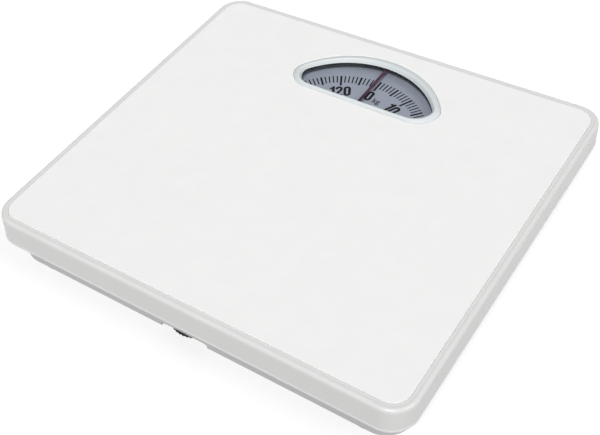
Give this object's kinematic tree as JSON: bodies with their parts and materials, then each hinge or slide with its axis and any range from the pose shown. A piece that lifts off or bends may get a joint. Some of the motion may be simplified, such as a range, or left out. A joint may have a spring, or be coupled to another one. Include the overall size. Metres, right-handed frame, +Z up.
{
  "type": "mechanical bathroom scale",
  "caption": "Low rectangular platform scale with a matted top, a D-shaped window over a turning dial, a lever and spring mechanism inside and a zero thumbwheel in the base's front edge.",
  "frame": {"origin": "on the floor under the middle of the cover", "axes": "+X to the right of a person facing the dial, along the longer side; +Y towards the dial's edge; +Z up"},
  "size_m": [0.271, 0.2524, 0.0424],
  "materials": {
    "cover_paint": "satin white baked paint",
    "mat": "matt white vinyl",
    "bezel": "pale bluish white plastic",
    "lens": "clear plastic, polished",
    "pointer": "dark red line",
    "dial_face": "pale blue-grey printed plastic",
    "base_paint": "satin pale grey-white paint",
    "foot": "pale grey rubber",
    "zinc": "zinc plated sheet",
    "fixings": "zinc plated",
    "lever": "plain pressed steel",
    "pin": "hardened, ground",
    "spring": "spring wire",
    "brass": "turned brass",
    "black_plastic": "black, moulded"
  },
  "bodies": {
    "base": {"base_pan": "base_paint", "foot_pads": "foot", "foot_rivets": "fixings", "fulcrum_posts": "zinc", "post_rivets": "fixings", "wheel_bracket": "zinc", "wheel_bracket_screws": "fixings", "spindle_bush": "brass", "crank_bracket": "zinc", "crank_bracket_screws": "fixings", "crank_pin": "fixings", "dial_bracket": "zinc", "dial_bracket_screws": "fixings", "dial_bush": "brass", "rack_guide": "zinc", "return_anchor": "zinc", "base_hooks": "zinc"},
    "platform": {"platform_cover": "cover_paint", "platform_mat": "mat", "window_bezel": "bezel", "window_lens": "lens", "lens_retainer": "black_plastic", "pointer_line": "pointer", "cover_saddles": "zinc", "cover_hooks": "zinc", "retaining_springs": "spring"},
    "long_left": {"long_lever_left": "lever", "long_pins_left": "pin"},
    "long_right": {"long_lever_right": "lever", "long_pins_right": "pin"},
    "short_left": {"short_lever_left": "lever", "short_pins_left": "pin"},
    "short_right": {"short_lever_right": "lever", "short_pins_right": "pin"},
    "calibrating": {"cal_plate": "lever", "spring_anchor": "brass", "main_spring": "spring"},
    "crank": {"crank_lever": "zinc"},
    "rack": {"rack_strip": "brass", "return_spring": "spring"},
    "dial": {"dial_disc": "dial_face", "dial_hub": "black_plastic", "pinion_shaft": "brass", "dial_cap": "black_plastic"},
    "thumbwheel": {"zero_wheel": "black_plastic", "adjusting_spindle": "pin"},
    "plug": {"spring_plug": "brass"}
  },
  "joints": [
    {"name": "platform_press", "type": "slide", "parent": "base", "child": "platform", "axis": [0, 0, -1], "range_m": [0, 0.0008], "deforming": ["retaining_springs"]},
    {"name": "dial_turn", "type": "hinge", "parent": "base", "child": "dial", "pos_m": [0, 0.0402, 0.0335], "axis": [0, 0, 1], "range_deg": [0, 360], "stiffness_Nm_per_rad": 0.0258, "springref_deg": -5.73},
    {"name": "rack_slide", "type": "slide", "parent": "base", "child": "rack", "axis": [0, -1, 0], "range_m": [0, 0.01257], "deforming": ["return_spring"]},
    {"name": "crank_turn", "type": "hinge", "parent": "base", "child": "crank", "pos_m": [-0.0046, -0.07, 0.01295], "axis": [1, 0, 0], "range_deg": [0, 45]},
    {"name": "plate_drop", "type": "slide", "parent": "base", "child": "calibrating", "axis": [0, 0, -1], "range_m": [0, 0.00829], "deforming": ["main_spring"]},
    {"name": "long_left_turn", "type": "hinge", "parent": "base", "child": "long_left", "pos_m": [-0.112, 0.088, 0.026], "axis": [0.8935, 0.4491, 0], "range_deg": [0, 2.29]},
    {"name": "long_right_turn", "type": "hinge", "parent": "base", "child": "long_right", "pos_m": [0.112, 0.088, 0.026], "axis": [0.8935, -0.4491, 0], "range_deg": [0, 2.29]},
    {"name": "short_left_turn", "type": "hinge", "parent": "base", "child": "short_left", "pos_m": [-0.112, -0.088, 0.026], "axis": [-0.8935, 0.4491, 0], "range_deg": [0, 2.29]},
    {"name": "short_right_turn", "type": "hinge", "parent": "base", "child": "short_right", "pos_m": [0.112, -0.088, 0.026], "axis": [-0.8935, -0.4491, 0], "range_deg": [0, 2.29]},
    {"name": "plug_lift", "type": "slide", "parent": "base", "child": "plug", "axis": [0, 0, 1], "range_m": [-0.0004, 0.0004]},
    {"name": "zero_turn", "type": "hinge", "parent": "base", "child": "thumbwheel", "pos_m": [-0.004, -0.1045, 0.01], "axis": [0, 0, 1], "range_deg": [-180, 180]}
  ],
  "couplings": [
    {"joint": "dial_turn", "follows": "platform_press", "rad_per_m": 7854},
    {"joint": "long_left_turn", "follows": "platform_press", "rad_per_m": 50.013},
    {"joint": "long_right_turn", "follows": "platform_press", "rad_per_m": 50.013},
    {"joint": "short_left_turn", "follows": "platform_press", "rad_per_m": 50.013},
    {"joint": "short_right_turn", "follows": "platform_press", "rad_per_m": 50.013},
    {"joint": "plate_drop", "follows": "platform_press", "ratio": 10.353},
    {"joint": "crank_turn", "follows": "platform_press", "rad_per_m": 981.75},
    {"joint": "rack_slide", "follows": "platform_press", "ratio": 15.708},
    {"joint": "zero_turn", "follows": "plug_lift", "rad_per_m": 7854}
  ]
}
